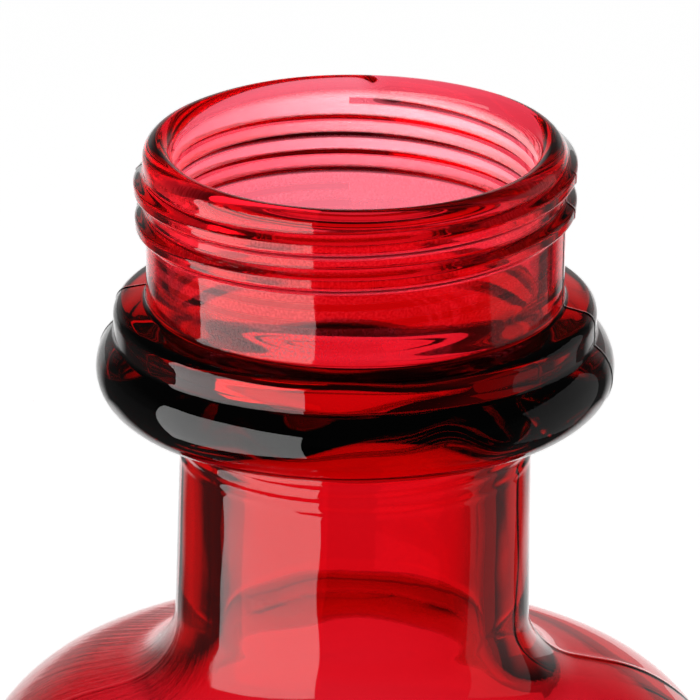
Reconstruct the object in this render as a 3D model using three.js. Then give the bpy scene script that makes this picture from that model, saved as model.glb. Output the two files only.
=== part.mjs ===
// A one-quart glass oil bottle with a screw finish, and the sheet-steel pour spout that
// closes it. The spout is off the bottle and stands on the same surface beside it.
// Millimetres, +Z up. The origin is the centre of the bottle's base, on that surface.
import * as THREE from "three";

// ---- driving dimensions ---------------------------------------------------------------
const BOTTLE_HEIGHT = 248;
const BODY_RADIUS = 45;
const BODY_WALL = 3.4;
const BASE_THICKNESS = 7;
const HEEL_ROUND = 7.5;

// base plate groove, between the flat centre and the bearing ring
const GROOVE_INNER = 29;
const GROOVE_OUTER = 32;
const GROOVE_DEPTH = 0.6;

// finish, measured down from the top of the lip
const LIP_RING = 22.67; // radius of the circle at the middle of the rounded lip
const LIP_ROUND = 1.73;
const FINISH_RADIUS = 24.05;
const STEP_RADIUS = 27.85;
const STEP_TOP = 18.6;
const STEP_FALL = 0.4; // how far the top of the step ring slopes down outward
const STEP_ROUND = 1.6;
const STEP_FILLET = 0.65;
const BEAD_RING = 25.13; // radius of the circle at the middle of the transfer bead
const BEAD_ROUND = 4.74;
const BEAD_DOWN = 26.9;
const BEAD_FROM = -105; // degrees, the part of the bead's circle that stands out of the wall
const BEAD_TO = 58;
const BEAD_FILLET = 1;

// right-hand thread, shared by the bottle and the spout's collar
const PITCH = 25.4 / 6;
const THREAD_HEIGHT = 1.15;
const THREAD_CREST = 1.0; // width of the full-height part
const THREAD_BASE = 3.5; // width where the thread meets the wall
const THREAD_FADE = Math.PI / 9; // turn over which each end runs out
const THREAD_START = Math.PI / 2; // angle of the top end, at the back of the bottle
const THREAD_TOP = 1.7; // middle of the top end, down from the lip
const THREAD_TURNS = 2.2;
const THREAD_FOOT = 14; // down from the lip, below the last ridge
const LIP_BLEND = [0.6, 2.4]; // down from the lip, where the thread's height builds up

// neck and shoulder
const NECK_TOP_RADIUS = 20.2;
const NECK_TOP = 33; // down from the lip
const NECK_FOOT_RADIUS = 20.5;
const NECK_FOOT = 56.9; // down from the lip
const NECK_FILLET = 8;
const SHOULDER_SLOPE = (13.5 * Math.PI) / 180;
const SHOULDER_RUN = 4.2;
const SHOULDER_ROUND = 18.6;

// bore
const MOUTH_FOOT_RADIUS = 20.5;
const CHOKE_TOP = 19.5; // down from the lip, where the bore starts to narrow
const CHOKE_FOOT = 34;
const NECK_BORE = 15.2;
const FLARE_ROUND = 11; // where the neck's bore opens into the body
const FLARE_TURN = 70; // degrees
const CROWN_TURN = 75; // degrees
const INNER_CORNER = 9;

// pour spout
const SPOUT_DISTANCE = 85;
const SPOUT_BEARING = (35 * Math.PI) / 180;
const SHEET = 0.9;
const COLLAR_WALL = 1.2;
const COLLAR_BORE = 25.6;
const COLLAR_HEIGHT = 15.5;
const COLLAR_HOLE = 21.1;
const COLLAR_CORNER = 1.5;
const COLLAR_RIBS = 18;
const RIB_HEIGHT = 0.45;
const RIB_FOOT = 1.5; // the ribs rise over a millimetre from here, and end the same way
const RIB_HEAD = COLLAR_HEIGHT - 2.5;
const COLLAR_THREAD_TURNS = 1.6;
const COLLAR_THREAD_DROP = 2; // from the gasket down to the middle of the thread's top end
const CLEARANCE = 0.3;
const FLANGE_GAP = 0.4; // round the flange and the gasket, inside the collar
const FLANGE_RADIUS = COLLAR_BORE - FLANGE_GAP;
const GASKET_THICKNESS = 2.2;
const GASKET_HOLE = 18.6;
const CONE_GAP = 0.5; // round the cone's foot, in the collar's hole
const CONE_FOOT_RADIUS = COLLAR_HOLE - CONE_GAP;
const CONE_START_RADIUS = 18.4;
const CONE_START = 24;
const NOZZLE_RADIUS = 8;
const NOZZLE_START = 96;
const SPOUT_HEIGHT = 112;
const TIP_ROLL = 0.75;
const CAP_BORE = 9.1;
const CAP_FOOT = 98;
const CAP_HEAD_GAP = 0.6;
const CAP_CORNER = 2;
const CAP_ROLL = 0.8;

const BOTTLE_SEGMENTS = 48;
const COLLAR_SEGMENTS = 54;
const SPOUT_SEGMENTS = 30;
const AXIS_CORE = 1; // points nearer the axis than this stay where they are

const GLASS = { color: 0xa8000f, roughness: 0.05, metalness: 0, transparent: true, opacity: 0.7 };
const TINPLATE = { color: 0xb9bab8, roughness: 0.35, metalness: 1 };
const CORK = { color: 0xa67c52, roughness: 0.95, metalness: 0 };

// ---- outline and turning helpers --------------------------------------------------------
const at = (radius, height) => new THREE.Vector2(radius, height);

// Points on an arc from one angle to another, in degrees; 0 points outward and 90 points up.
function arc(centre, radius, from, to, steps) {
  const points = [];
  for (let i = 0; i <= steps; i += 1) {
    const angle = THREE.MathUtils.degToRad(from + ((to - from) * i) / steps);
    points.push(at(centre.x + radius * Math.cos(angle), centre.y + radius * Math.sin(angle)));
  }
  return points;
}

// Points on an S-shaped stretch from one point to another, vertical at both ends.
function easedRun(start, end, steps) {
  const points = [];
  for (let i = 1; i < steps; i += 1) {
    const share = i / steps;
    const eased = THREE.MathUtils.smootherstep(share, 0, 1);
    points.push(at(start.x + (end.x - start.x) * eased, start.y + (end.y - start.y) * share));
  }
  return points;
}

function straightRun(start, end, steps) {
  const points = [];
  for (let i = 1; i < steps; i += 1) {
    points.push(start.clone().lerp(end, i / steps));
  }
  return points;
}

// Turns an outline about Z. reach(angle, height, radius) moves a point of the wall outward.
function turned(outline, segments, reach = () => 0) {
  const geometry = new THREE.LatheGeometry(outline, segments);
  geometry.rotateX(Math.PI / 2);
  const places = geometry.getAttribute("position");
  for (let i = 0; i < places.count; i += 1) {
    const x = places.getX(i);
    const y = places.getY(i);
    const radius = Math.hypot(x, y);
    if (radius < AXIS_CORE) continue;
    const scale = 1 + reach(Math.atan2(y, x), places.getZ(i), radius) / radius;
    places.setXY(i, x * scale, y * scale);
  }
  geometry.computeVertexNormals();
  return geometry;
}

// Height of a right-hand thread above its wall, at an angle about Z and a height. It winds
// down from startAngle at the height top, through the given number of turns.
function threadHeight(angle, height, startAngle, top, turns) {
  const whole = 2 * Math.PI;
  const first = THREE.MathUtils.euclideanModulo(startAngle - angle, whole);
  let tallest = 0;
  for (let wound = first; wound <= turns * whole; wound += whole) {
    const offCentre = Math.abs(height - (top - (PITCH * wound) / whole));
    const flank = THREE.MathUtils.smoothstep(offCentre, THREAD_CREST / 2, THREAD_BASE / 2);
    const fromEnd = Math.min(wound, turns * whole - wound);
    const fade = THREE.MathUtils.smoothstep(fromEnd, 0, THREAD_FADE);
    tallest = Math.max(tallest, THREAD_HEIGHT * (1 - flank) * fade);
  }
  return tallest;
}

function piece(name, geometry, material) {
  const mesh = new THREE.Mesh(geometry, new THREE.MeshStandardMaterial(material));
  mesh.name = name;
  return mesh;
}

// ---- glass bottle -------------------------------------------------------------------------
const down = (depth) => BOTTLE_HEIGHT - depth;

function shoulderPoints() {
  const steepness = 90 - THREE.MathUtils.radToDeg(SHOULDER_SLOPE);
  const filletCentre = at(NECK_FOOT_RADIUS + NECK_FILLET, down(NECK_FOOT));
  const fillet = arc(filletCentre, NECK_FILLET, 180, 180 + steepness, 5);
  const foot = fillet[fillet.length - 1];
  const crownRadius = foot.x + SHOULDER_RUN * Math.cos(SHOULDER_SLOPE);
  const crownHeight = foot.y - SHOULDER_RUN * Math.sin(SHOULDER_SLOPE);
  const crownCentre = at(BODY_RADIUS - SHOULDER_ROUND, 0);
  const rise = Math.acos((crownRadius - crownCentre.x) / SHOULDER_ROUND);
  crownCentre.y = crownHeight - SHOULDER_ROUND * Math.sin(rise);
  const crown = arc(crownCentre, SHOULDER_ROUND, 0, THREE.MathUtils.radToDeg(rise), 6);
  return { fillet, crown, bodyTop: crownCentre.y };
}

function outerWall() {
  const { fillet, crown } = shoulderPoints();
  const beadCentre = at(BEAD_RING, down(BEAD_DOWN));
  const stepCentre = at(STEP_RADIUS - STEP_ROUND, down(STEP_TOP + STEP_FALL) - STEP_ROUND);
  const threadFoot = at(FINISH_RADIUS, down(THREAD_FOOT));
  const lipCentre = at(LIP_RING, down(LIP_ROUND));
  const lipSide = at(LIP_RING + LIP_ROUND, lipCentre.y);
  return [
    at(0, 0),
    at(GROOVE_INNER, 0),
    at(GROOVE_INNER + GROOVE_DEPTH, GROOVE_DEPTH),
    at(GROOVE_OUTER - GROOVE_DEPTH, GROOVE_DEPTH),
    at(GROOVE_OUTER, 0),
    ...arc(at(BODY_RADIUS - HEEL_ROUND, HEEL_ROUND), HEEL_ROUND, -90, 0, 4),
    ...crown,
    ...fillet.reverse(),
    at(NECK_TOP_RADIUS, down(NECK_TOP)),
    at(NECK_TOP_RADIUS + BEAD_FILLET, down(NECK_TOP - BEAD_FILLET)),
    ...arc(beadCentre, BEAD_ROUND, BEAD_FROM, BEAD_TO, 8),
    ...arc(stepCentre, STEP_ROUND, 0, 75, 2),
    at(FINISH_RADIUS + STEP_FILLET, down(STEP_TOP)),
    at(FINISH_RADIUS, down(STEP_TOP - STEP_FILLET)),
    threadFoot,
    ...straightRun(threadFoot, lipSide, 17),
    ...arc(lipCentre, LIP_ROUND, 0, 90, 3),
  ];
}

function innerWall() {
  const { bodyTop } = shoulderPoints();
  const bore = BODY_RADIUS - BODY_WALL;
  const mouthFoot = at(MOUTH_FOOT_RADIUS, down(CHOKE_TOP));
  const neckHead = at(NECK_BORE, down(CHOKE_FOOT));
  const flareCentre = at(NECK_BORE + FLARE_ROUND, down(NECK_FOOT));
  const crownRound = SHOULDER_ROUND - BODY_WALL;
  const crownCentre = at(bore - crownRound, bodyTop);
  return [
    ...arc(at(LIP_RING, down(LIP_ROUND)), LIP_ROUND, 120, 180, 2),
    mouthFoot,
    ...easedRun(mouthFoot, neckHead, 5),
    neckHead,
    ...arc(flareCentre, FLARE_ROUND, 180, 180 + FLARE_TURN, 4),
    ...arc(crownCentre, crownRound, CROWN_TURN, 0, 5),
    ...arc(at(bore - INNER_CORNER, BASE_THICKNESS + INNER_CORNER), INNER_CORNER, 0, -90, 4),
    at(0, BASE_THICKNESS),
  ];
}

function bottleThread(angle, height, radius) {
  const depth = down(height);
  if (radius < LIP_RING || depth > THREAD_FOOT) return 0;
  const lipBlend = THREE.MathUtils.smoothstep(depth, ...LIP_BLEND);
  return lipBlend * threadHeight(angle, height, THREAD_START, down(THREAD_TOP), THREAD_TURNS);
}

function glassBottle() {
  const outline = [...outerWall(), ...innerWall()];
  return piece("glass_bottle", turned(outline, BOTTLE_SEGMENTS, bottleThread), GLASS);
}

// ---- pour spout ---------------------------------------------------------------------------
const FLANGE_TOP = COLLAR_HEIGHT - COLLAR_WALL - CLEARANCE;
const FLANGE_BOTTOM = FLANGE_TOP - SHEET;
const GASKET_TOP = FLANGE_BOTTOM - CLEARANCE;
const GASKET_BOTTOM = GASKET_TOP - GASKET_THICKNESS;
const COLLAR_THREAD_TOP = GASKET_BOTTOM - COLLAR_THREAD_DROP;
const COLLAR_THREAD_FOOT = 0.6;
const CONE_BELL = COLLAR_HEIGHT + 1; // where the cone starts to narrow, clear of the collar

// The collar's wall: ribs stand out on the outside, and the thread stands in on the inside.
function collarWall(angle, height, radius) {
  if (radius > COLLAR_BORE + COLLAR_WALL / 2) {
    const inset = Math.min(height - RIB_FOOT, RIB_HEAD - height);
    const rib = (1 + Math.cos(COLLAR_RIBS * angle)) / 2;
    return RIB_HEIGHT * rib * THREE.MathUtils.smoothstep(inset, 0, 1);
  }
  const onBore = radius > (COLLAR_BORE + COLLAR_HOLE) / 2 && height >= COLLAR_THREAD_FOOT;
  if (!onBore || height > GASKET_BOTTOM) return 0;
  return -threadHeight(angle, height, 0, COLLAR_THREAD_TOP, COLLAR_THREAD_TURNS);
}

function screwCollar() {
  const outside = COLLAR_BORE + COLLAR_WALL;
  const threadFoot = at(COLLAR_BORE, COLLAR_THREAD_FOOT);
  const threadHead = at(COLLAR_BORE, GASKET_BOTTOM);
  const under = COLLAR_HEIGHT - COLLAR_WALL;
  const cornerCentre = at(outside - COLLAR_CORNER, COLLAR_HEIGHT - COLLAR_CORNER);
  const outline = [
    at(outside, 0),
    at(outside, RIB_FOOT),
    at(outside, RIB_FOOT + 1),
    at(outside, RIB_HEAD - 1),
    at(outside, RIB_HEAD),
    ...arc(cornerCentre, COLLAR_CORNER, 0, 90, 3),
    at(COLLAR_HOLE, COLLAR_HEIGHT),
    at(COLLAR_HOLE, under),
    at(COLLAR_BORE, under),
    threadHead,
    ...straightRun(threadHead, threadFoot, 12),
    threadFoot,
    at(COLLAR_BORE, 0),
    at(outside, 0),
  ];
  return piece("screw_collar", turned(outline, COLLAR_SEGMENTS, collarWall), TINPLATE);
}

// The cone is drawn sheet: a flange held under the collar's lip, a bell foot, a long taper
// and a parallel nozzle with a rolled tip.
function pourCone() {
  const tip = at(NOZZLE_RADIUS, SPOUT_HEIGHT - TIP_ROLL);
  const outline = [
    at(CONE_FOOT_RADIUS - SHEET, FLANGE_BOTTOM),
    at(FLANGE_RADIUS, FLANGE_BOTTOM),
    at(FLANGE_RADIUS, FLANGE_TOP),
    at(CONE_FOOT_RADIUS, FLANGE_TOP),
    at(CONE_FOOT_RADIUS, CONE_BELL),
    ...easedRun(at(CONE_FOOT_RADIUS, CONE_BELL), at(CONE_START_RADIUS, CONE_START), 4),
    at(CONE_START_RADIUS, CONE_START),
    at(NOZZLE_RADIUS, NOZZLE_START),
    at(NOZZLE_RADIUS, tip.y - TIP_ROLL),
    ...arc(tip, TIP_ROLL, -60, 180, 5),
    at(NOZZLE_RADIUS - SHEET, tip.y - TIP_ROLL),
    at(NOZZLE_RADIUS - SHEET, NOZZLE_START),
    at(CONE_START_RADIUS - SHEET, CONE_START),
    at(CONE_FOOT_RADIUS - SHEET, CONE_BELL),
    at(CONE_FOOT_RADIUS - SHEET, FLANGE_BOTTOM),
  ];
  return piece("pour_cone", turned(outline, SPOUT_SEGMENTS), TINPLATE);
}

function mouthGasket() {
  const outline = [
    at(GASKET_HOLE, GASKET_BOTTOM),
    at(FLANGE_RADIUS, GASKET_BOTTOM),
    at(FLANGE_RADIUS, GASKET_TOP),
    at(GASKET_HOLE, GASKET_TOP),
    at(GASKET_HOLE, GASKET_BOTTOM),
  ];
  return piece("mouth_gasket", turned(outline, SPOUT_SEGMENTS), CORK);
}

function dustCap() {
  const outside = CAP_BORE + SHEET;
  const ceiling = SPOUT_HEIGHT + CAP_HEAD_GAP;
  const crown = ceiling + SHEET;
  const outline = [
    at(0, crown),
    at(0, ceiling),
    at(CAP_BORE - CAP_CORNER + SHEET, ceiling),
    at(CAP_BORE, ceiling - CAP_CORNER + SHEET),
    at(CAP_BORE, CAP_FOOT),
    ...arc(at(outside, CAP_FOOT + CAP_ROLL), CAP_ROLL, -90, 75, 3),
    at(outside, CAP_FOOT + 2 * CAP_ROLL),
    at(outside, crown - CAP_CORNER),
    ...arc(at(outside - CAP_CORNER, crown - CAP_CORNER), CAP_CORNER, 30, 90, 2),
    at(0, crown),
  ];
  return piece("dust_cap", turned(outline, SPOUT_SEGMENTS), TINPLATE);
}

function pourSpout() {
  const spout = new THREE.Group();
  spout.position.x = SPOUT_DISTANCE * Math.cos(SPOUT_BEARING);
  spout.position.y = SPOUT_DISTANCE * Math.sin(SPOUT_BEARING);
  spout.add(screwCollar(), pourCone(), mouthGasket(), dustCap());
  return spout;
}

const object = new THREE.Group();
object.add(glassBottle(), pourSpout());
export default object;
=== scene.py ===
import math

import bpy
import numpy as np
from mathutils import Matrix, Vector


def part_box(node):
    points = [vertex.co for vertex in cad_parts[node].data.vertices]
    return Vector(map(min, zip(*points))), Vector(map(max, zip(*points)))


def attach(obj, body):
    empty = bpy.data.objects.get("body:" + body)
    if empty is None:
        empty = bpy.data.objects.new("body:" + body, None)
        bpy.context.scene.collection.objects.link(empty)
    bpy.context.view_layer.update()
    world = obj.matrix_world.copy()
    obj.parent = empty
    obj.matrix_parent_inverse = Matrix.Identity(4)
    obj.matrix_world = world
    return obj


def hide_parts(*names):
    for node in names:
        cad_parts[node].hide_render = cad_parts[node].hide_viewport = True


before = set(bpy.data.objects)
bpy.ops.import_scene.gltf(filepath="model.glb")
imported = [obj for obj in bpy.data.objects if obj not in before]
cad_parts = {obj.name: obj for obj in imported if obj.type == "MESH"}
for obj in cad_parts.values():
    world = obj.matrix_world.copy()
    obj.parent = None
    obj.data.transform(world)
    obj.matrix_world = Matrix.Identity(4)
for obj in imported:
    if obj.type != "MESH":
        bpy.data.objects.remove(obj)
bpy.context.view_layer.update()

# A red glass oil bottle, open, with its pour spout standing beside it. Metres, +Z up.

MM = 0.001
bottle_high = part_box("glass_bottle")[1]
LIP_TOP = bottle_high.z
BODY_RADIUS = bottle_high.x

# ---- the bottle's sizes; depths are measured down from the top of the lip ---------------
BODY_WALL = 3.4 * MM
BASE_THICKNESS = 7 * MM
HEEL_ROUND = 7.5 * MM
GROOVE_INNER = 29 * MM
GROOVE_OUTER = 32 * MM
GROOVE_DEPTH = 0.6 * MM
LIP_RING = 22.67 * MM
LIP_ROUND = 1.73 * MM
FINISH_RADIUS = 24.05 * MM
STEP_RADIUS = 27.85 * MM
STEP_TOP = 18.6 * MM
STEP_FALL = 0.4 * MM
STEP_ROUND = 1.6 * MM
STEP_FILLET = 0.65 * MM
BEAD_RING = 25.13 * MM
BEAD_ROUND = 4.74 * MM
BEAD_DOWN = 26.9 * MM
BEAD_FILLET = 1 * MM
NECK_TOP_RADIUS = 20.2 * MM
NECK_TOP = 33 * MM
NECK_FOOT_RADIUS = 20.5 * MM
NECK_FOOT = 56.9 * MM
NECK_FILLET = 8 * MM
SHOULDER_SLOPE = math.radians(13.5)
SHOULDER_RUN = 4.2 * MM
SHOULDER_ROUND = 18.6 * MM
MOUTH_FOOT_RADIUS = 21.1 * MM
MOUTH_FOOT = 15 * MM
WAIST_RADIUS = 20.8 * MM
WAIST = 18 * MM
CHOKE_TOP = 19.5 * MM
CHOKE_FOOT = 36 * MM
NECK_BORE = 15.2 * MM
FLARE_ROUND = 11 * MM
FLARE_TURN = 70  # degrees
CROWN_TURN = 75  # degrees
INNER_CORNER = 9 * MM

# the thread: right-hand, six to the inch
PITCH = 25.4 * MM / 6
THREAD_HEIGHT = 1.15 * MM
THREAD_CREST = 0.9 * MM  # width of the full-height part
THREAD_BASE = 3.3 * MM  # width where the thread meets the wall
THREAD_TOP = 1.7 * MM
THREAD_TURNS = 2.2
THREAD_FOOT = 14 * MM
THREAD_START = math.pi / 2
THREAD_NOSE = math.radians(10)
THREAD_TAIL = math.radians(25)
LIP_BLEND = (0.6 * MM, 2.4 * MM)  # depths between which the thread's height builds up

# mould marks and the unevenness of hand-finished glass
FINISH_SEAMS = ((math.radians(-9), 1.0), (math.radians(171), 1.0))  # angle and relative height
BODY_SEAMS = ((math.radians(11), 1.0), (math.radians(191), 0.3))
FINISH_SEAM = (0.2 * MM, 0.09 * MM)  # width and height
BODY_SEAM = (0.6 * MM, 0.1 * MM)
NECK_RIPPLES = ((34.1 * MM, 0.3 * MM), (35.6 * MM, 0.24 * MM), (37.4 * MM, 0.14 * MM))  # depth and height
RIPPLE_WIDTH = 0.5 * MM
RIPPLE_SWAY = 0.25 * MM
LEAN = 0.7 * MM
SHOULDER_TILT = 0.012  # slope of the shoulder from side to side
LIP_RISE = 0.4 * MM

# the pour spout's sizes
gasket_low, gasket_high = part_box("mouth_gasket")
collar_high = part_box("screw_collar")[1]
cone_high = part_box("pour_cone")[1]
cap_low, cap_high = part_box("dust_cap")
SPOUT_AXIS = (gasket_low + gasket_high) / 2
SHEET = 0.9 * MM
COLLAR_WALL = 1.2 * MM
COLLAR_BORE = 25.6 * MM
COLLAR_HOLE = 21.1 * MM
COLLAR_RIBS = 18
RIB_HEIGHT = 0.45 * MM
RIB_FOOT = 1.5 * MM
RIB_HEAD = 13 * MM
COLLAR_THREAD_FOOT = 0.6 * MM
COLLAR_THREAD_DROP = 2 * MM
COLLAR_THREAD_TURNS = 1.6
CONE_START = 23 * MM
NOZZLE_START = 96 * MM
CONE_MIDDLE_HEIGHTS = (13, 17.5, 23, 96, 112)
CONE_MIDDLE_RADII = (20.15, 20.15, 18.15, 7.55, 7.55)
CONE_RINGS = (31 * MM, 34 * MM)
LAP_ANGLE = math.radians(150)
LAP_WIDTH = 4 * MM
CAP_BORE = 9.1 * MM
CAP_RIBS = 48
CAP_RIB_HEIGHT = 0.16 * MM
CAP_GRIP = (101 * MM, 110 * MM)
CORK_BROWNS = ((0.2, 0.11, 0.055, 1), (0.5, 0.33, 0.19, 1))
CORK_PORE = (0.06, 0.035, 0.02, 1)


# ---- outlines: arrays of (radius, height) -------------------------------------------------
def arc(centre, radius, start, end, steps):
    """Points on an arc; angles in degrees, 0 outward and 90 up."""
    angle = np.radians(np.linspace(start, end, steps + 1))
    return np.column_stack((centre[0] + radius * np.cos(angle), centre[1] + radius * np.sin(angle)))


def line(start, end, steps):
    """Points on a straight stretch, without its two ends."""
    share = np.linspace(0, 1, steps + 1)[1:-1, None]
    return np.array(start) * (1 - share) + np.array(end) * share


def smooth(share):
    """0 to 1 with level ends."""
    share = np.clip(share, 0, 1)
    return share * share * (3 - 2 * share)


def smoother(share):
    """0 to 1 with level ends that also bend gently."""
    share = np.clip(share, 0, 1)
    return share**3 * (share * (share * 6 - 15) + 10)


def eased(start, end, steps):
    """Points on an S-shaped stretch, vertical at both ends, without its ends."""
    share = np.linspace(0, 1, steps + 1)[1:-1]
    radius = start[0] + (end[0] - start[0]) * smoother(share)
    height = start[1] + (end[1] - start[1]) * share
    return np.column_stack((radius, height))


def joined(*parts):
    """One outline from several stretches and single points."""
    return np.vstack([np.atleast_2d(part) for part in parts])


def shoulder_arcs():
    """The neck's foot fillet and the shoulder's crown, both from the neck outward."""
    steepness = 90 - math.degrees(SHOULDER_SLOPE)
    fillet_centre = (NECK_FOOT_RADIUS + NECK_FILLET, LIP_TOP - NECK_FOOT)
    fillet = arc(fillet_centre, NECK_FILLET, 180, 180 + steepness, 20)
    crown_radius = fillet[-1, 0] + SHOULDER_RUN * math.cos(SHOULDER_SLOPE)
    crown_height = fillet[-1, 1] - SHOULDER_RUN * math.sin(SHOULDER_SLOPE)
    rise = math.acos((crown_radius - BODY_RADIUS + SHOULDER_ROUND) / SHOULDER_ROUND)
    body_top = crown_height - SHOULDER_ROUND * math.sin(rise)
    crown_centre = (BODY_RADIUS - SHOULDER_ROUND, body_top)
    return fillet, arc(crown_centre, SHOULDER_ROUND, math.degrees(rise), 0, 28), body_top


def bottle_outside():
    """From the base's centre up the outside to the top of the lip."""
    fillet, crown, body_top = shoulder_arcs()
    heel = arc((BODY_RADIUS - HEEL_ROUND, HEEL_ROUND), HEEL_ROUND, -90, 0, 12)
    neck_top = (NECK_TOP_RADIUS, LIP_TOP - NECK_TOP)
    step_centre = (STEP_RADIUS - STEP_ROUND, LIP_TOP - STEP_TOP - STEP_FALL - STEP_ROUND)
    step = arc(step_centre, STEP_ROUND, 0, 75, 12)
    step_root = (FINISH_RADIUS + STEP_FILLET, LIP_TOP - STEP_TOP)
    root_centre = (FINISH_RADIUS + STEP_FILLET, LIP_TOP - STEP_TOP + STEP_FILLET)
    root = arc(root_centre, STEP_FILLET, 265, 180, 6)
    thread_foot = (FINISH_RADIUS, LIP_TOP - THREAD_FOOT)
    lip_side = (LIP_RING + LIP_ROUND, LIP_TOP - LIP_ROUND)
    bead = arc((BEAD_RING, LIP_TOP - BEAD_DOWN), BEAD_ROUND, -100, 56, 36)
    under_centre = (NECK_TOP_RADIUS + BEAD_FILLET, LIP_TOP - NECK_TOP)
    under = arc(under_centre, BEAD_FILLET, 180, 100, 6)
    groove = (
        (GROOVE_INNER, 0),
        (GROOVE_INNER + GROOVE_DEPTH, GROOVE_DEPTH),
        (GROOVE_OUTER - GROOVE_DEPTH, GROOVE_DEPTH),
        (GROOVE_OUTER, 0),
    )
    return joined(
        line((0, 0), groove[0], 8),
        groove[0],
        line(groove[0], groove[1], 2),
        groove[1],
        line(groove[1], groove[2], 3),
        groove[2],
        line(groove[2], groove[3], 2),
        groove[3],
        heel,
        line(heel[-1], crown[-1], 40),
        crown[::-1],
        line(crown[0], fillet[-1], 6),
        fillet[::-1],
        line(fillet[0], neck_top, 120),
        under,
        line(under[-1], bead[0], 5),
        bead,
        line(bead[-1], step[0], 5),
        step,
        line(step[-1], step_root, 5),
        root,
        line(root[-1], thread_foot, 10),
        thread_foot,
        line(thread_foot, lip_side, 72),
        arc((LIP_RING, LIP_TOP - LIP_ROUND), LIP_ROUND, 0, 88, 14),
    )


def bottle_inside():
    """From the top of the lip down the inside to the middle of the inner base."""
    body_top = shoulder_arcs()[2]
    bore = BODY_RADIUS - BODY_WALL
    mouth_foot = (MOUTH_FOOT_RADIUS, LIP_TOP - MOUTH_FOOT)
    waist = (WAIST_RADIUS, LIP_TOP - WAIST)
    neck_head = (NECK_BORE, LIP_TOP - CHOKE_FOOT)
    lip = arc((LIP_RING, LIP_TOP - LIP_ROUND), LIP_ROUND, 92, 180, 14)
    flare_centre = (NECK_BORE + FLARE_ROUND, LIP_TOP - NECK_FOOT)
    flare = arc(flare_centre, FLARE_ROUND, 180, 180 + FLARE_TURN, 16)
    crown_round = SHOULDER_ROUND - BODY_WALL
    crown = arc((bore - crown_round, body_top), crown_round, CROWN_TURN, 0, 18)
    corner = arc((bore - INNER_CORNER, BASE_THICKNESS + INNER_CORNER), INNER_CORNER, 0, -90, 10)
    return joined(
        lip,
        line(lip[-1], mouth_foot, 30),
        mouth_foot,
        eased(mouth_foot, waist, 8),
        waist,
        eased(waist, neck_head, 36),
        neck_head,
        line(neck_head, flare[0], 30),
        flare,
        line(flare[-1], crown[0], 5),
        crown,
        line(crown[-1], corner[0], 36),
        corner,
        line(corner[-1], (0, BASE_THICKNESS), 10),
    )


# ---- surface detail: heights above the outline, for every point of a turned wall ---------------
def thread(angle, height, start, top, turns, ends):
    """Height of a right-hand thread that winds down from an angle and a height. The ends are the
    turns, in radians, over which it rises at its start and runs out at its foot."""
    whole = 2 * math.pi
    first = np.mod(start - angle, whole)
    tallest = np.zeros(np.broadcast(angle, height).shape)
    for lap in range(int(turns) + 1):
        wound = first + lap * whole
        off_centre = np.abs(height - (top - PITCH * wound / whole))
        flank = smooth((off_centre - THREAD_CREST / 2) / (THREAD_BASE / 2 - THREAD_CREST / 2))
        run_out = smooth(wound / ends[0]) * smooth((turns * whole - wound) / ends[1])
        tallest = np.maximum(tallest, THREAD_HEIGHT * (1 - flank) * run_out)
    return tallest


def ridge(distance, width):
    """A narrow rounded ridge, 1 at its middle."""
    return np.exp(-((distance / width) ** 2))


def seams(angle, radius, places, size):
    """Mould seams: thin ridges of a width and a height that run up the wall at two angles."""
    width, proud = size
    total = np.zeros(np.broadcast(angle, radius).shape)
    for place, share in places:
        turn = np.mod(angle - place + math.pi, 2 * math.pi) - math.pi
        total += share * ridge(turn * radius, width)
    return proud * total


def swell(angle, height, waves):
    """Smooth unevenness: a sum of (amplitude, waves round, wavelength up, phase)."""
    total = 0
    for size, round_count, rise, phase in waves:
        total = total + size * np.sin(round_count * angle + phase) * np.cos(
            2 * math.pi * height / rise + 2.3 * phase
        )
    return total


OUTER_WAVES = (
    (0.05 * MM, 3, 61 * MM, 0.4),
    (0.035 * MM, 5, 23 * MM, 1.9),
    (0.02 * MM, 9, 13 * MM, 3.1),
)
INNER_WAVES = (
    (0.05 * MM, 2, 47 * MM, 0.9),
    (0.03 * MM, 3, 29 * MM, 2.2),
    (0.02 * MM, 5, 17 * MM, 4.0),
)
CHOKE_WAVES = (
    (0.14 * MM, 3, 19 * MM, 2.2),
    (0.1 * MM, 5, 13 * MM, 4.0),
    (0.05 * MM, 9, 8 * MM, 0.3),
)


def outside_height(angle, radius, height):
    """The thread, the seams, the ripples under the bead and the wall's unevenness."""
    depth = LIP_TOP - height
    in_thread = (depth < THREAD_FOOT) & (radius > LIP_RING)
    lip_blend = smooth((depth - LIP_BLEND[0]) / (LIP_BLEND[1] - LIP_BLEND[0]))
    ends = (THREAD_NOSE, THREAD_TAIL)
    wound = thread(angle, height, THREAD_START, LIP_TOP - THREAD_TOP, THREAD_TURNS, ends)
    total = np.where(in_thread, lip_blend * wound, 0)
    on_finish = smooth((NECK_TOP - depth) / MM) * smooth((depth - LIP_ROUND) / MM)
    on_body = smooth((depth - NECK_TOP) / MM) * smooth(height / HEEL_ROUND)
    total = total + on_finish * seams(angle, radius, FINISH_SEAMS, FINISH_SEAM)
    total = total + on_body * seams(angle, radius, BODY_SEAMS, BODY_SEAM)
    for place, size in NECK_RIPPLES:
        sway = RIPPLE_SWAY * np.sin(2 * angle + 900 * place / MM)
        strength = 0.75 + 0.25 * np.sin(3 * angle + 400 * place / MM)
        ripple = size * strength * ridge(depth - place + sway, RIPPLE_WIDTH)
        total = total + np.where(radius < NECK_FOOT_RADIUS + MM, ripple, 0)
    clear_of_base = smooth(height / HEEL_ROUND)
    return total + clear_of_base * swell(angle, height, OUTER_WAVES)


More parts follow.
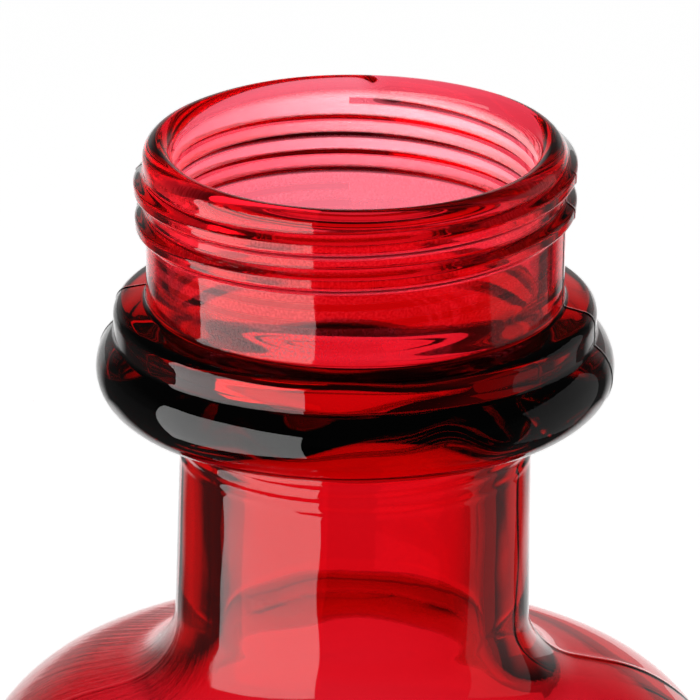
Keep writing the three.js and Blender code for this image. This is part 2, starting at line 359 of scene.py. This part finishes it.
def inside_height(angle, radius, height):
    """The bore's unevenness, most where it narrows, and none at the lip and the base's middle."""
    clear_of_lip = smooth((LIP_TOP - height - LIP_ROUND) / (4 * MM))
    near_choke = ridge(LIP_TOP - height - (CHOKE_TOP + CHOKE_FOOT) / 2, 7 * MM)
    level = smooth(radius / NECK_BORE)
    waves = swell(angle, height, INNER_WAVES) + near_choke * swell(angle, height, CHOKE_WAVES)
    return clear_of_lip * level * waves


def bottle_bend(x, y, z):
    """The finish leans a little to one side of the body, the lip is a little higher at the back,
    and the shoulder sits a little askew."""
    up = smooth((z - LIP_TOP + NECK_FOOT + SHOULDER_ROUND) / (NECK_FOOT + SHOULDER_ROUND - CHOKE_FOOT))
    on_shoulder = ridge(LIP_TOP - z - NECK_FOOT - NECK_FILLET, 14 * MM)
    raised = LIP_RISE * smooth((y / LIP_RING + 1) / 2) * smooth((z - LIP_TOP) / (4 * MM) + 1)
    return x + LEAN * up, y, z - SHOULDER_TILT * x * on_shoulder + raised


# ---- meshes ---------------------------------------------------------------------------------
def fine_angles(count, refined=()):
    """Angles round the axis, closer together near the refined ones."""
    angles = [np.linspace(-math.pi, math.pi, count, endpoint=False)]
    for place in refined:
        near = place + np.radians(np.linspace(-1.5, 1.5, 15))
        angles.append(np.mod(near + math.pi, 2 * math.pi) - math.pi)
    return np.unique(np.round(np.concatenate(angles), 6))


def outward(outline, capped):
    """Unit normals of an outline that goes up its outside and down its inside."""
    closed_step = np.roll(outline, -1, axis=0) - np.roll(outline, 1, axis=0)
    step = np.gradient(outline, axis=0) if capped else closed_step
    normal = np.column_stack((step[:, 1], -step[:, 0]))
    return normal / np.linalg.norm(normal, axis=1)[:, None]


def turn_outline(outline, angles, relief, capped=False):
    """Vertices and faces of an outline turned about Z. A capped outline has both ends on the
    axis, closed by a fan; any other closes on itself."""
    radius, height = outline[:, :1], outline[:, 1:]
    angle = angles[None, :]
    raised = relief(angle, radius, height)
    normal = outward(outline, capped)
    ring_radius = radius + raised * normal[:, :1]
    ring_height = height + raised * normal[:, 1:]
    x, y = ring_radius * np.cos(angle), ring_radius * np.sin(angle)
    vertices = np.stack((x, y, ring_height + 0 * x), axis=-1).reshape(-1, 3)
    rows, columns = x.shape
    low = np.arange(rows if not capped else rows - 1)
    high = (low + 1) % rows
    here = np.arange(columns)
    there = (here + 1) % columns
    quads = np.stack(
        (
            low[:, None] * columns + here,
            low[:, None] * columns + there,
            high[:, None] * columns + there,
            high[:, None] * columns + here,
        ),
        axis=-1,
    ).reshape(-1, 4)
    faces = quads.tolist()
    if capped:
        centres = np.array([[0, 0, ring_height[0].mean()], [0, 0, ring_height[-1].mean()]])
        first, last = len(vertices), len(vertices) + 1
        vertices = np.vstack((vertices, centres))
        top = (rows - 1) * columns
        faces += [(first, b, a) for a, b in zip(here.tolist(), there.tolist())]
        faces += [(last, top + a, top + b) for a, b in zip(here.tolist(), there.tolist())]
    return vertices, faces


def mesh_piece(name, vertices, faces, material, node, body):
    """A smooth mesh that takes the place of a CAD node and rides its body."""
    mesh = bpy.data.meshes.new(name)
    mesh.from_pydata(np.asarray(vertices).tolist(), [], faces)
    mesh.validate()
    mesh.polygons.foreach_set("use_smooth", [True] * len(mesh.polygons))
    mesh.materials.append(material)
    mesh.update()
    piece = bpy.data.objects.new(name, mesh)
    bpy.context.scene.collection.objects.link(piece)
    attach(piece, body)
    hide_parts(node)
    return piece


# ---- material helpers ---------------------------------------------------------------------------
def add_node(tree, kind, settings=None, **inputs):
    """A node with its settings and inputs. An input is a value or a socket to link, and is named,
    with _ for a space, or numbered, as in i0."""
    made = tree.nodes.new(kind)
    for key, value in (settings or {}).items():
        setattr(made, key, value)
    for key, value in inputs.items():
        numbered = key[0] == "i" and key[1:].isdigit()
        socket = made.inputs[int(key[1:]) if numbered else key.replace("_", " ")]
        if isinstance(value, bpy.types.NodeSocket):
            tree.links.new(value, socket)
        else:
            socket.default_value = value
    return made


def maths(tree, operation, a, b=0.0):
    return add_node(tree, "ShaderNodeMath", {"operation": operation}, i0=a, i1=b).outputs[0]


def product(tree, *values):
    total = values[0]
    for value in values[1:]:
        total = maths(tree, "MULTIPLY", total, value)
    return total


def plus(tree, a, b):
    return maths(tree, "ADD", a, b)


def minus(tree, a, b):
    return maths(tree, "SUBTRACT", a, b)


def over(tree, a, b):
    return maths(tree, "DIVIDE", a, b)


def vector_maths(tree, operation, **inputs):
    return add_node(tree, "ShaderNodeVectorMath", {"operation": operation}, **inputs).outputs[0]


def combined(tree, x, y, z=0.0):
    return add_node(tree, "ShaderNodeCombineXYZ", X=x, Y=y, Z=z).outputs[0]


def bumped(tree, strength, distance, height, **below):
    """The normal of a bumpy surface, laid over another such normal if one is given."""
    shape = {"Strength": strength, "Distance": distance, "Height": height}
    return add_node(tree, "ShaderNodeBump", **shape, **below).outputs[0]


def fade(tree, value, start, end):
    """0 to 1 as the value goes from start to end."""
    settings = {"interpolation_type": "SMOOTHSTEP"}
    ends = {"i1": start, "i2": end, "i3": 0.0, "i4": 1.0}
    return add_node(tree, "ShaderNodeMapRange", settings, i0=value, **ends).outputs[0]


def new_material(name):
    material = bpy.data.materials.new(name)
    material.use_nodes = True
    tree = material.node_tree
    tree.nodes.clear()
    return material, tree, add_node(tree, "ShaderNodeOutputMaterial")


def length(tree, x, y):
    return maths(tree, "SQRT", plus(tree, product(tree, x, x), product(tree, y, y)))


def object_place(tree):
    """Object coordinates, and their x, y, z and distance from the Z axis."""
    place = add_node(tree, "ShaderNodeTexCoord").outputs["Object"]
    parts = add_node(tree, "ShaderNodeSeparateXYZ", Vector=place).outputs
    return place, parts, length(tree, parts[0], parts[1])


def noise(tree, place, scale, detail=2.0, roughness=0.5, distortion=0.0):
    kind = {"Scale": scale, "Detail": detail, "Roughness": roughness, "Distortion": distortion}
    return add_node(tree, "ShaderNodeTexNoise", Vector=place, **kind).outputs[0]


# ---- ruby glass -----------------------------------------------------------------------------------
GLASS_ABSORPTION_DENSITY = 600.0  # per metre
GLASS_ABSORPTION_COLOUR = (0.928, 0.05, 0.22, 1)
SAND_HAZE = 0.42  # of the sandy bore
THREAD_PAINTED_GLOW = 1.9  # painted light: how much brighter than white the sandy bore is painted at the back of the threaded part
THREAD_PAINTED_GLOW_FADE = (12 * MM, 8 * MM)
PAINTED_LIGHT_LEAN = 0.3  # painted light: how much lighter the haze is painted to the left, towards the bright left softbox, and darker to the right
HAZE_THROUGH = 0.4  # of the haze, what shows through from the other side
FLANK_SHIFT = 0.165  # of a pitch, how far the bands of painted shade behind the thread's flanks sit higher at the back and lower in front
SAND_START = (0.6 * MM, 1.8 * MM)  # down from the lip, at the back
SAND_LOWER_IN_FRONT = 2.2 * MM
SAND_INSIDE = (LIP_RING - 0.6 * MM, LIP_RING - 1.1 * MM)
SAND_EDGE = (15 * MM, 14.4 * MM)
SAND_FADED_EDGE = (20 * MM, 18.6 * MM)
EDGE_WANDER = 9 * MM
STREAK_CIRCLE = 30.0  # far wider than the bottle in metres, so the noise hardly changes along a streak


def flank_shade_bands(tree, parts, across):
    """1 on the bore, falling to 0 in narrow bands behind the flanks of the thread: painted shade lines, where
    the haze is left out so the dark refraction lines behind the flanks stay dark.
    """
    whole = 2 * math.pi
    turn = maths(tree, "ARCTAN2", parts[1], parts[0])
    lap = maths(tree, "FRACT", over(tree, minus(tree, THREAD_START, turn), whole))
    down = over(tree, minus(tree, LIP_TOP - THREAD_TOP, parts[2]), PITCH)
    side = product(tree, over(tree, parts[1], across), FLANK_SHIFT)
    wound = plus(tree, minus(tree, down, lap), side)
    flank = maths(tree, "ABSOLUTE", maths(tree, "SINE", product(tree, wound, whole)))
    on_thread = product(tree, fade(tree, wound, -0.55, -0.45), fade(tree, wound, 2.45, 2.35))
    return minus(tree, 1.0, product(tree, on_thread, fade(tree, flank, 0.7, 0.92)))


def sandy_bore(tree, place, parts, across):
    """1 on the sandy inside of the mouth, down to a ragged edge, and 0.5 for a little below it."""
    wander = product(tree, noise(tree, place, 70.0, 3.0, 0.6), EDGE_WANDER)
    ragged = minus(tree, plus(tree, parts[2], wander), EDGE_WANDER / 2)
    dense = fade(tree, ragged, LIP_TOP - SAND_EDGE[0], LIP_TOP - SAND_EDGE[1])
    faint = fade(tree, ragged, LIP_TOP - SAND_FADED_EDGE[0], LIP_TOP - SAND_FADED_EDGE[1])
    above_choke = product(tree, plus(tree, dense, faint), 0.5)
    backward = over(tree, parts[1], across)
    lower = product(tree, minus(tree, 1.0, backward), SAND_LOWER_IN_FRONT / 2)
    edge_height = plus(tree, parts[2], lower)
    below_lip = fade(tree, edge_height, LIP_TOP - SAND_START[0], LIP_TOP - SAND_START[1])
    return product(tree, fade(tree, across, *SAND_INSIDE), above_choke, below_lip)


def bore_haze_and_glow(tree, parts, across, sand):
    """How pale the sandy bore is, partly its own frosting and partly painted light: painted brighter than
    white at the back of the thread and lighter to the left, with bands of painted shade behind the thread's
    flanks.
    """
    grain = plus(tree, product(tree, fade(tree, sand, 0.35, 0.68), 0.5), 0.75)
    # painted light: the bore's haze is made brighter than white towards the back, over the threaded part
    glow_at_back = plus(tree, product(tree, over(tree, parts[1], across), 0.5), 0.5)
    glow_by_thread = fade(tree, parts[2], LIP_TOP - THREAD_PAINTED_GLOW_FADE[0], LIP_TOP - THREAD_PAINTED_GLOW_FADE[1])
    haze_and_glow = plus(tree, product(tree, glow_by_thread, glow_at_back, THREAD_PAINTED_GLOW), SAND_HAZE)
    # painted light: the haze is lighter to the left, where the left softbox shines, and darker to the right
    painted_left_light = minus(tree, 1.0, product(tree, over(tree, parts[0], across), PAINTED_LIGHT_LEAN))
    return product(tree, haze_and_glow, grain, flank_shade_bands(tree, parts, across), painted_left_light)


def flow_streaks(tree, place, parts):
    """Fine streaks that run outward down the left shoulder, and where they show."""
    direction = vector_maths(tree, "NORMALIZE", Vector=combined(tree, parts[0], parts[1]))
    around = vector_maths(tree, "SCALE", Vector=direction, Scale=STREAK_CIRCLE)
    streaks = noise(tree, vector_maths(tree, "ADD", i0=around, i1=place), 1.0, 4.0, 0.7)
    low = fade(tree, parts[2], LIP_TOP - NECK_FOOT + 4 * MM, LIP_TOP - NECK_FOOT - 4 * MM)
    return streaks, product(tree, low, fade(tree, parts[0], -12 * MM, -22 * MM))


def ruby_glass():
    """Clear glass that swallows green and blue, with a sandy bore whose haze is partly painted light, and
    fine flow streaks.
    """
    material, tree, output = new_material("ruby_glass")
    place, parts, across = object_place(tree)
    sand = noise(tree, place, 3200.0, 2.0, 0.6)
    in_bore = sandy_bore(tree, place, parts, across)
    # the bore's haze is partly its frosting and partly painted light and painted shade
    haze_and_glow = product(tree, in_bore, bore_haze_and_glow(tree, parts, across, sand))
    streaks, on_shoulder = flow_streaks(tree, place, parts)
    normal = bumped(tree, product(tree, in_bore, 0.5), 0.006 * MM, sand)
    normal = bumped(tree, 0.25, 0.03 * MM, noise(tree, place, 260.0, 2.0), Normal=normal)
    normal = bumped(tree, product(tree, on_shoulder, 0.3), 0.15 * MM, streaks, Normal=normal)
    clear = {"Base_Color": (1, 1, 1, 1), "Roughness": 0.0, "IOR": 1.5, "Transmission_Weight": 1.0}
    glass = add_node(tree, "ShaderNodeBsdfPrincipled", Normal=normal, **clear)
    stain = {"Color": GLASS_ABSORPTION_COLOUR, "Density": GLASS_ABSORPTION_DENSITY}
    volume = add_node(tree, "ShaderNodeVolumeAbsorption", **stain)
    pale_and_glow = combined(tree, haze_and_glow, haze_and_glow, haze_and_glow)
    facing = add_node(tree, "ShaderNodeBsdfDiffuse", Color=pale_and_glow)
    faint = vector_maths(tree, "SCALE", Vector=pale_and_glow, Scale=HAZE_THROUGH)
    through = add_node(tree, "ShaderNodeBsdfTranslucent", Color=faint)
    sand_and_glow = add_node(tree, "ShaderNodeAddShader", i0=facing.outputs[0], i1=through.outputs[0])
    surface = add_node(tree, "ShaderNodeAddShader", i0=glass.outputs[0], i1=sand_and_glow.outputs[0])
    tree.links.new(surface.outputs[0], output.inputs["Surface"])
    tree.links.new(volume.outputs[0], output.inputs["Volume"])
    return material


def glass_bottle():
    outside, inside = bottle_outside(), bottle_inside()
    outline = np.vstack((outside, inside))
    is_inside = (np.arange(len(outline)) >= len(outside))[:, None]
    angles = fine_angles(240, [place for place, _ in FINISH_SEAMS + BODY_SEAMS])

    def relief(*place):
        return np.where(is_inside, inside_height(*place), outside_height(*place))

    vertices, faces = turn_outline(outline, angles, relief, capped=True)
    bent = np.column_stack(bottle_bend(*vertices.T))
    return mesh_piece("bottle", bent, faces, ruby_glass(), "glass_bottle", "bottle")


# ---- the pour spout ---------------------------------------------------------------------------------
def rounded(corners, longest, closed=True):
    """An outline through corners (radius, height, rounding) with its long stretches divided."""
    places = np.array([corner[:2] for corner in corners]) * MM
    points = []
    for i, corner in enumerate(corners):
        here, rounding = places[i], corner[2] * MM
        if not closed and i in (0, len(corners) - 1):
            points.append(here)
            continue
        before = places[i - 1] - here
        after = places[(i + 1) % len(corners)] - here
        start = here + before / np.linalg.norm(before) * rounding
        end = here + after / np.linalg.norm(after) * rounding
        for share in np.linspace(0, 1, 7):
            points.append(start * (1 - share) ** 2 + 2 * here * share * (1 - share) + end * share**2)
    divided = []
    count = len(points) if closed else len(points) - 1
    for i in range(count):
        start, end = points[i], points[(i + 1) % len(points)]
        pieces = max(1, math.ceil(np.linalg.norm(end - start) / longest))
        divided += [start + (end - start) * k / pieces for k in range(pieces)]
    if not closed:
        divided.append(points[-1])
    return np.array(divided)


def spout_piece(name, outline, relief, material, node, body, slot, capped=False):
    """A piece turned about the spout's axis."""
    angles = fine_angles(216)
    vertices, faces = turn_outline(outline, angles, relief, capped)
    vertices = vertices + np.array((SPOUT_AXIS.x, SPOUT_AXIS.y, 0))
    return mesh_piece(name, vertices, faces, material, node, body)


def collar_relief(angle, radius, height):
    """Gripping ribs outside, the thread inside and slight dents all over."""
    outside = radius > COLLAR_BORE + COLLAR_WALL / 2
    inset = np.minimum(height - RIB_FOOT, RIB_HEAD - height)
    rib = RIB_HEIGHT * ((1 + np.cos(COLLAR_RIBS * angle)) / 2) ** 1.4 * smooth(inset / MM)
    on_bore = (radius > COLLAR_BORE - 0.1 * MM) & (height > COLLAR_THREAD_FOOT) & (height < gasket_low.z)
    wound = thread(angle, height, 0, gasket_low.z - COLLAR_THREAD_DROP, COLLAR_THREAD_TURNS, (0.35, 0.35))
    dents = 0.05 * MM * np.sin(2 * angle + 1) * np.sin(3 * angle)
    return np.where(outside, rib, np.where(on_bore, wound, 0)) + dents


def cone_relief(angle, radius, height):
    """A soldered lap seam up one side, two rolled rings and the slight unevenness of drawn sheet."""
    outside = radius > np.interp(height / MM, CONE_MIDDLE_HEIGHTS, CONE_MIDDLE_RADII) * MM
    across = (np.mod(angle - LAP_ANGLE + math.pi, 2 * math.pi) - math.pi) * radius
    lap = smooth((across + LAP_WIDTH) / (0.4 * MM)) * smooth(-across / (LAP_WIDTH * 0.9))
    on_cone = smooth((height - CONE_START) / (3 * MM)) * smooth((NOZZLE_START - height) / (3 * MM))
    rings = sum(ridge(height - place, 0.8 * MM) for place in CONE_RINGS)
    uneven = 0.04 * MM * np.sin(3 * angle + height / (9 * MM)) * on_cone
    return np.where(outside, 0.28 * MM * lap * on_cone + 0.4 * MM * rings, 0) + uneven


def cap_relief(angle, radius, height):
    """A fine grip round the cap's side."""
    outside = radius > CAP_BORE + SHEET / 2
    inset = np.minimum(height - CAP_GRIP[0], CAP_GRIP[1] - height)
    rib = CAP_RIB_HEIGHT * (1 + np.cos(CAP_RIBS * angle)) / 2 * smooth(inset / (0.8 * MM))
    return np.where(outside, rib, 0)


def gasket_relief(angle, radius, height):
    """The cork ring's slight unevenness."""
    return 0.08 * MM * np.sin(5 * angle + 2) * np.sin(7 * angle) + 0 * radius * height


def tinplate(name, tone, grain, roughness):
    """Tinned sheet with fine drawing marks, cloudy tin, small dark specks and duller patches. The
    grain is how often the marks come along x, y and z, per metre."""
    material, tree, output = new_material(name)
    place = add_node(tree, "ShaderNodeTexCoord").outputs["Object"]
    marks = noise(tree, vector_maths(tree, "MULTIPLY", i0=place, i1=grain), 1.0, 4.0, 0.65)
    clouds = noise(tree, place, 90.0, 4.0, 0.6, 0.6)
    specks = fade(tree, noise(tree, place, 700.0, 3.0, 0.7), 0.66, 0.74)
    worn = fade(tree, noise(tree, place, 45.0, 5.0, 0.65), 0.52, 0.7)
    shade = plus(tree, product(tree, clouds, 0.22), tone - 0.11)
    shade = minus(tree, shade, product(tree, specks, 0.3))
    blue = minus(tree, shade, product(tree, worn, 0.05))
    colour = combined(tree, shade, minus(tree, shade, 0.004), blue)
    rough = plus(tree, product(tree, marks, 0.18), roughness - 0.09)
    rough = plus(tree, rough, product(tree, plus(tree, worn, specks), 0.14))
    normal = bumped(tree, 0.5, 0.03 * MM, marks)
    normal = bumped(tree, 0.5, 0.05 * MM, clouds, Normal=normal)
    look = {"Base_Color": colour, "Metallic": 0.8, "Roughness": rough, "Normal": normal}
    metal = add_node(tree, "ShaderNodeBsdfPrincipled", **look)
    tree.links.new(metal.outputs[0], output.inputs["Surface"])
    return material


def pressed_cork():
    """Cork granules of several browns pressed together, with dark pores."""
    material, tree, output = new_material("pressed_cork")
    place = add_node(tree, "ShaderNodeTexCoord").outputs["Object"]
    granules = add_node(tree, "ShaderNodeTexVoronoi", Vector=place, Scale=900.0).outputs
    tint = add_node(tree, "ShaderNodeSeparateColor", Color=granules["Color"]).outputs[0]
    ramp = add_node(tree, "ShaderNodeValToRGB", Fac=tint)
    for stop, colour in zip(ramp.color_ramp.elements, CORK_BROWNS):
        stop.color = colour
    pores = fade(tree, noise(tree, place, 1400.0, 3.0, 0.6), 0.62, 0.7)
    mix = add_node(tree, "ShaderNodeMix", {"data_type": "RGBA"}, i0=pores, i6=ramp.outputs[0], i7=CORK_PORE)
    normal = bumped(tree, 0.8, 0.12 * MM, granules["Distance"])
    look = {"Base_Color": mix.outputs[2], "Roughness": 0.9, "Normal": normal}
    cork = add_node(tree, "ShaderNodeBsdfPrincipled", **look)
    tree.links.new(cork.outputs[0], output.inputs["Surface"])
    return material


def screw_collar():
    outside = (COLLAR_BORE + COLLAR_WALL) / MM
    bore, hole = COLLAR_BORE / MM, COLLAR_HOLE / MM
    top, under = collar_high.z / MM, (collar_high.z - COLLAR_WALL) / MM
    corners = (
        (outside + 0.35, 0.01, 0.5),
        (outside + 0.35, 1.2, 0.5),
        (outside, 1.45, 0.2),
        (outside, top, 1.5),
        (hole, top, 0.4),
        (hole, under, 0.4),
        (bore, under, 0.3),
        (bore, 0.01, 0.3),
    )
    sheet = tinplate("collar_tinplate", 0.72, (500, 500, 3000), 0.36)
    outline = rounded(corners, 0.3 * MM)
    return spout_piece("collar_sheet", outline, collar_relief, sheet, "screw_collar", "spout", "tinplate")


def pour_cone():
    tip = cone_high.z / MM
    corners = (
        (19.7, 13.1, 0.3),
        (25.2, 13.1, 0.3),
        (25.2, 14.0, 0.3),
        (20.6, 14.0, 0.5),
        (20.6, 17.5, 2.5),
        (18.6, 23.0, 3.5),
        (8.0, 96.0, 3.0),
        (8.0, tip - 1.9, 0.3),
        (8.75, tip - 1.5, 0.4),
        (8.75, tip, 0.7),
        (7.1, tip, 0.5),
        (7.1, 96.0, 3.0),
        (17.7, 23.0, 3.5),
        (19.7, 17.5, 2.5),
    )
    sheet = tinplate("cone_tinplate", 0.74, (160, 160, 5000), 0.34)
    outline = rounded(corners, 1.0 * MM)
    return spout_piece("cone_sheet", outline, cone_relief, sheet, "pour_cone", "spout", "cone_tinplate")


def mouth_gasket():
    low, high = gasket_low.z / MM, gasket_high.z / MM
    hole, rim = 18.6, (gasket_high.x - SPOUT_AXIS.x) / MM
    corners = ((hole, low, 0.3), (rim, low, 0.3), (rim, high, 0.3), (hole, high, 0.3))
    outline = rounded(corners, 0.5 * MM)
    return spout_piece("gasket_cork", outline, gasket_relief, pressed_cork(), "mouth_gasket", "spout", "cork")


def dust_cap():
    crown = cap_high.z / MM
    bore, outside = CAP_BORE / MM, (CAP_BORE + SHEET) / MM
    foot = cap_low.z / MM
    corners = (
        (0.4, crown - 0.9, 0),
        (bore, crown - 0.9, 1.1),
        (bore, foot, 0.3),
        (outside + 0.8, foot, 0.7),
        (outside + 0.8, foot + 1.6, 0.6),
        (outside, foot + 1.9, 0.25),
        (outside, crown, 2.0),
        (6.0, crown, 0.5),
        (5.4, crown - 0.35, 0.5),
        (0.4, crown - 0.35, 0),
    )
    sheet = tinplate("cap_tinplate", 0.76, (900, 900, 900), 0.32)
    outline = rounded(corners, 0.4 * MM, closed=False)
    rides = ("dust_cap", "dust_cap", "cap_tinplate")
    return spout_piece("cap_sheet", outline, cap_relief, sheet, *rides, capped=True)


# ---- stage, light and camera ------------------------------------------------------------------------
VIEW_ELEVATION = math.radians(20.3)
VIEW_DISTANCE = 1.5
VIEW_TARGET = Vector((0.0001, 0, 0.2228))
VIEW_WIDTH = 80.55 * MM
FLOOR_SIZE = 40.0
FLOOR_DROP = 0.0002  # keeps the floor clear of the bottle's base

# brightness round the compass for what the glass sees, from the front (0) to the back (1)
SURROUND = ((0.0, 0.015), (0.25, 0.02), (0.5, 0.08), (0.88, 0.05), (0.95, 0.75), (0.985, 1.12))
WALL_LIGHT = 0.38  # of the table's brightness, above the horizon
WALL_FADE = (0.42, 0.1)  # upward part of a direction, where the wall's light ends and is full
WALL_LEAST = 0.02
TABLE_LIGHT = 1.2  # of the table near the bottle and behind it
TABLE_LIGHT_FADE = (0.55, 0.4)  # metres from the bottle's axis
BEHIND_FADE = (0.6, 0.85)  # backward part of a direction
FOOT_LIGHT_FADE = (0.1, 0.06)  # metres from the axis, under the bottle's foot
SEEN_TABLE = 0.96
SEEN_WALL = 0.98
TABLE_PAINT = 0.85


def surround_brightness(tree, x, y):
    """White behind the bottle and dark to the sides and in front."""
    facing = over(tree, y, maths(tree, "MAXIMUM", length(tree, x, y), 1e-6))
    ramp = add_node(tree, "ShaderNodeValToRGB", Fac=plus(tree, product(tree, facing, 0.5), 0.5))
    ramp.color_ramp.interpolation = "EASE"
    stops = ramp.color_ramp.elements
    while len(stops) < len(SURROUND):
        stops.new(0.5)
    top = max(value for _, value in SURROUND)
    for stop, (position, value) in zip(stops, SURROUND):
        stop.position = position
        stop.color = (value / top, value / top, value / top, 1)
    return product(tree, ramp.outputs[0], top)


def studio_world():
    """A wall lit behind the bottle, which the glass sees, and plain white for the camera."""
    world = bpy.data.worlds.new("studio")
    world.use_nodes = True
    tree = world.node_tree
    tree.nodes.clear()
    outward_ray = add_node(tree, "ShaderNodeTexCoord").outputs["Generated"]
    direction = add_node(tree, "ShaderNodeSeparateXYZ", Vector=outward_ray).outputs
    height = fade(tree, direction[2], *WALL_FADE)
    level = product(tree, surround_brightness(tree, direction[0], direction[1]), height, WALL_LIGHT)
    level = plus(tree, level, WALL_LEAST)
    seen = add_node(tree, "ShaderNodeLightPath").outputs["Is Camera Ray"]
    strength = add_node(tree, "ShaderNodeMix", {"data_type": "FLOAT"}, i0=seen, i2=level, i3=SEEN_WALL)
    glow = add_node(tree, "ShaderNodeBackground", Color=(1, 1, 1, 1), Strength=strength.outputs[0])
    tree.links.new(glow.outputs[0], add_node(tree, "ShaderNodeOutputWorld").inputs["Surface"])
    bpy.context.scene.world = world


def table_light(tree, parts, across):
    """What the glass sees of the table: lit behind and under the bottle, dark to the sides."""
    near = fade(tree, across, *TABLE_LIGHT_FADE)
    behind = fade(tree, over(tree, parts[1], across), *BEHIND_FADE)
    level = surround_brightness(tree, parts[0], parts[1])
    level = maths(tree, "MAXIMUM", level, product(tree, near, behind, TABLE_LIGHT))
    return maths(tree, "MAXIMUM", level, fade(tree, across, *FOOT_LIGHT_FADE))


def pale_floor():
    """A plain pale table that glows softly, so the glass has light under and behind it."""
    mesh = bpy.data.meshes.new("floor")
    half = FLOOR_SIZE / 2
    corners = [(-half, -half, 0), (half, -half, 0), (half, half, 0), (-half, half, 0)]
    mesh.from_pydata(corners, [], [(0, 1, 2, 3)])
    material, tree, output = new_material("pale_floor")
    _, parts, across = object_place(tree)
    seen = add_node(tree, "ShaderNodeLightPath").outputs["Is Camera Ray"]
    unseen = {"Color": (1, 1, 1, 1), "Strength": table_light(tree, parts, across)}
    surround = add_node(tree, "ShaderNodeEmission", **unseen)
    glow = add_node(tree, "ShaderNodeEmission", Color=(1, 1, 1, 1), Strength=SEEN_TABLE)
    paint = add_node(tree, "ShaderNodeBsdfDiffuse", Color=(TABLE_PAINT, TABLE_PAINT, TABLE_PAINT, 1))
    table = add_node(tree, "ShaderNodeAddShader", i0=glow.outputs[0], i1=paint.outputs[0])
    either = add_node(tree, "ShaderNodeMixShader", i0=seen, i1=surround.outputs[0], i2=table.outputs[0])
    tree.links.new(either.outputs[0], output.inputs["Surface"])
    mesh.materials.append(material)
    floor = bpy.data.objects.new("floor", mesh)
    floor.location.z = -FLOOR_DROP
    bpy.context.scene.collection.objects.link(floor)


def softbox(name, azimuths, distance, height, brightness):
    """An upright light panel that stands on the table. Azimuths are in degrees, anticlockwise
    seen from above, from the camera's side to the panel's two edges."""
    middle = math.radians((azimuths[0] + azimuths[1]) / 2)
    half = math.radians(abs(azimuths[1] - azimuths[0]) / 2)
    out = Vector((math.sin(middle), -math.cos(middle), 0))
    light = bpy.data.lights.new(name, "AREA")
    light.shape = "RECTANGLE"
    light.size = 2 * distance * math.tan(half)
    light.size_y = height
    light.energy = brightness * math.pi * light.size * height
    lamp = bpy.data.objects.new(name, light)
    lamp.location = out * distance + Vector((0, 0, height / 2 + MM))
    lamp.rotation_mode = "QUATERNION"
    lamp.rotation_quaternion = out.to_track_quat("Z", "Y")
    lamp.visible_camera = False
    bpy.context.scene.collection.objects.link(lamp)


def camera():
    data = bpy.data.cameras.new("camera")
    data.sensor_width = 36
    data.lens = data.sensor_width * VIEW_DISTANCE / VIEW_WIDTH
    eye = bpy.data.objects.new("camera", data)
    back = Vector((0, -math.cos(VIEW_ELEVATION), math.sin(VIEW_ELEVATION)))
    eye.location = VIEW_TARGET + back * VIEW_DISTANCE
    eye.rotation_mode = "QUATERNION"
    eye.rotation_quaternion = back.to_track_quat("Z", "Y")
    bpy.context.scene.collection.objects.link(eye)
    bpy.context.scene.camera = eye


def picture_settings():
    scene = bpy.context.scene
    scene.view_settings.view_transform = "Standard"
    scene.cycles.max_bounces = 32
    scene.cycles.transmission_bounces = 32
    scene.cycles.glossy_bounces = 12


camera()
picture_settings()
studio_world()
pale_floor()
softbox("softbox_left", (-93, -22), 0.28, 0.35, 2.8)
softbox("softbox_right", (78, 128), 0.28, 0.35, 0.22)
glass_bottle()
screw_collar()
pour_cone()
mouth_gasket()
dust_cap()
